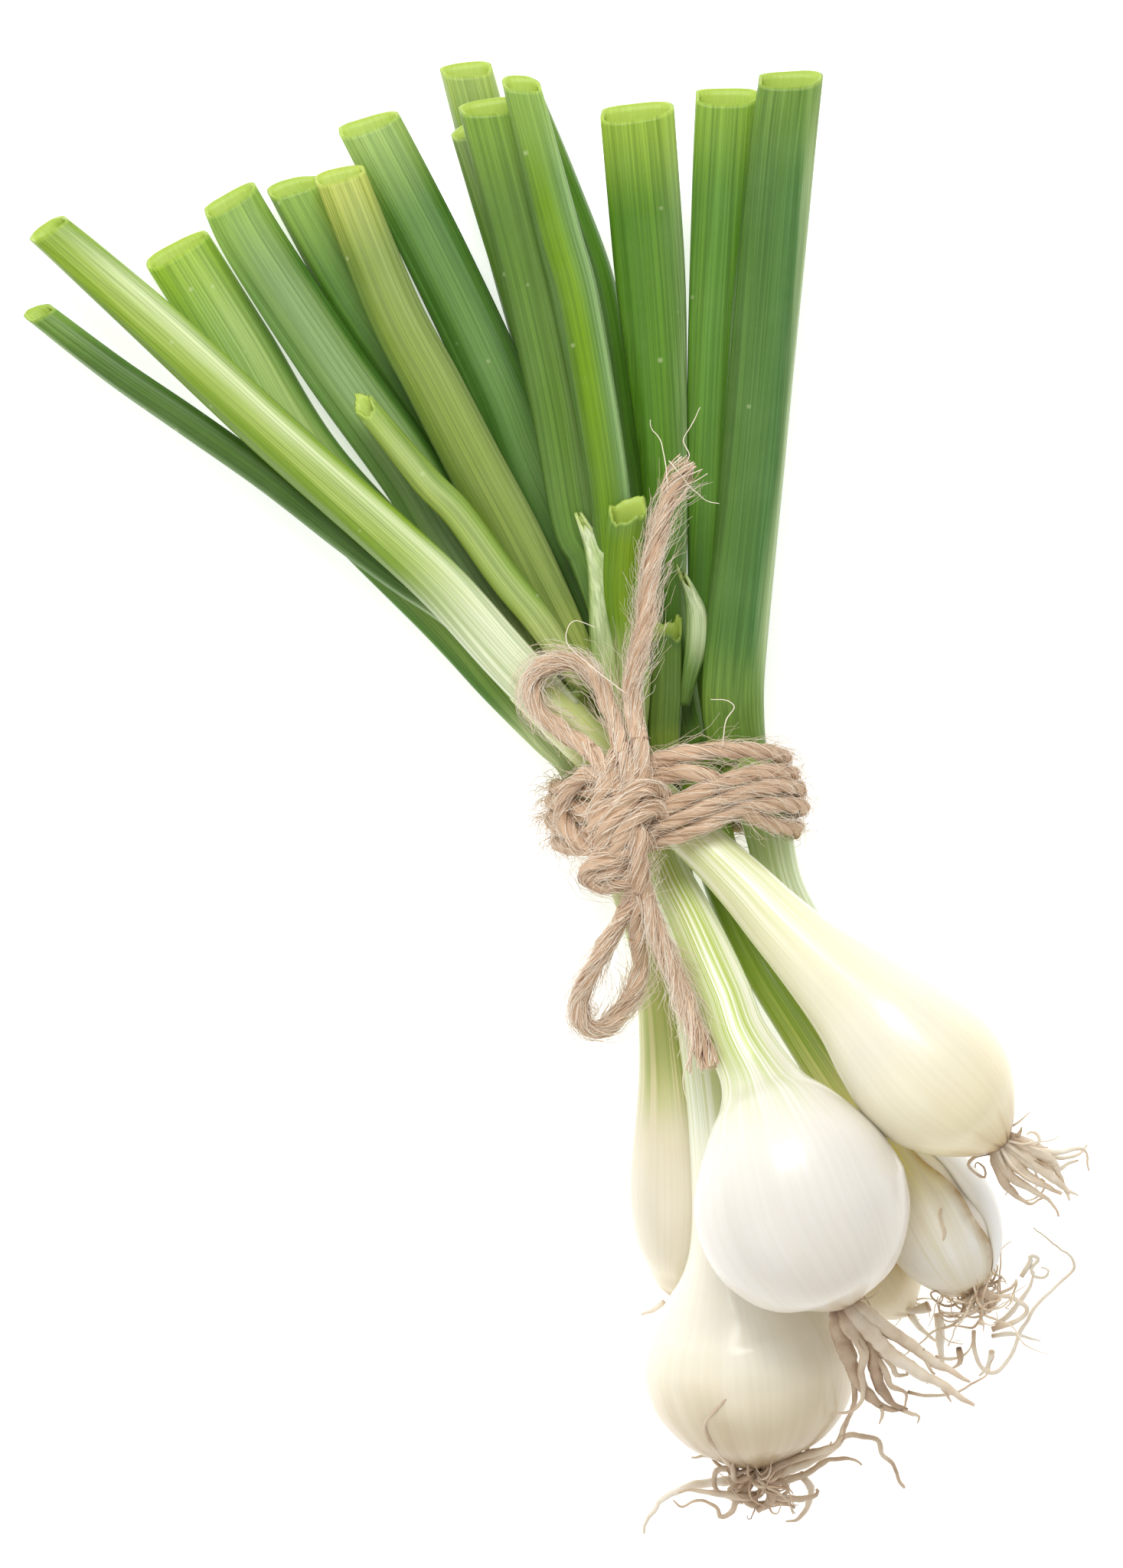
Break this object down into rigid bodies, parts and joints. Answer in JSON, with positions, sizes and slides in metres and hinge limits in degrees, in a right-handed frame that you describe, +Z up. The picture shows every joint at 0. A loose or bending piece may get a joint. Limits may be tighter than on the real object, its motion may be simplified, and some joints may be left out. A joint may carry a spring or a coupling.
{
  "type": "spring onion bunch",
  "caption": "Bunch of spring onions with round white bulbs, curly roots and cut green leaves, tied round the necks with a jute twine bow, lying on its side.",
  "frame": {"origin": "bottom centre of the bunch as it lies on a flat surface", "axes": "+Y along the bunch from the roots to the cut leaf tips, +X across it, +Z up from the surface it lies on"},
  "size_m": [0.1348, 0.2478, 0.0572],
  "materials": {
    "bulb_white": "smooth waxy white onion skin, softly glossy, green veins on the neck",
    "bulb_cream": "smooth waxy cream onion skin, yellowish at the shoulder and root",
    "roots_dry": "dry matt brown root threads",
    "leaf_bright": "smooth bright green leaf, finely striped lengthwise",
    "leaf_dark": "dark green leaf with a thin bluish wax bloom",
    "leaf_olive": "olive green leaf turning yellow",
    "jute": "laid jute twine, matt and hairy"
  },
  "bodies": {
    "root": {"onion_1_bulb": "bulb_white", "onion_1_roots": "roots_dry", "leaf_1a": "leaf_dark", "leaf_1b": "leaf_bright", "leaf_1c": "leaf_bright", "onion_2_bulb": "bulb_cream", "onion_2_roots": "roots_dry", "leaf_2a": "leaf_bright", "leaf_2b": "leaf_dark", "leaf_2c": "leaf_olive", "onion_3_bulb": "bulb_cream", "onion_3_roots": "roots_dry", "leaf_3a": "leaf_bright", "leaf_3b": "leaf_olive", "leaf_3c": "leaf_dark", "onion_4_bulb": "bulb_cream", "onion_4_roots": "roots_dry", "leaf_4a": "leaf_bright", "leaf_4b": "leaf_dark", "onion_5_bulb": "bulb_cream", "onion_5_roots": "roots_dry", "leaf_5a": "leaf_dark", "leaf_5b": "leaf_bright", "leaf_5c": "leaf_dark", "leaf_5d": "leaf_bright", "onion_6_bulb": "bulb_cream", "onion_6_roots": "roots_dry", "leaf_6a": "leaf_dark", "leaf_6b": "leaf_bright", "leaf_6c": "leaf_dark", "twine_turns": "jute", "twine_knot": "jute", "twine_upper_loop": "jute", "twine_upper_tail": "jute", "twine_lower_loop": "jute", "twine_lower_tail": "jute"}
  },
  "joints": []
}
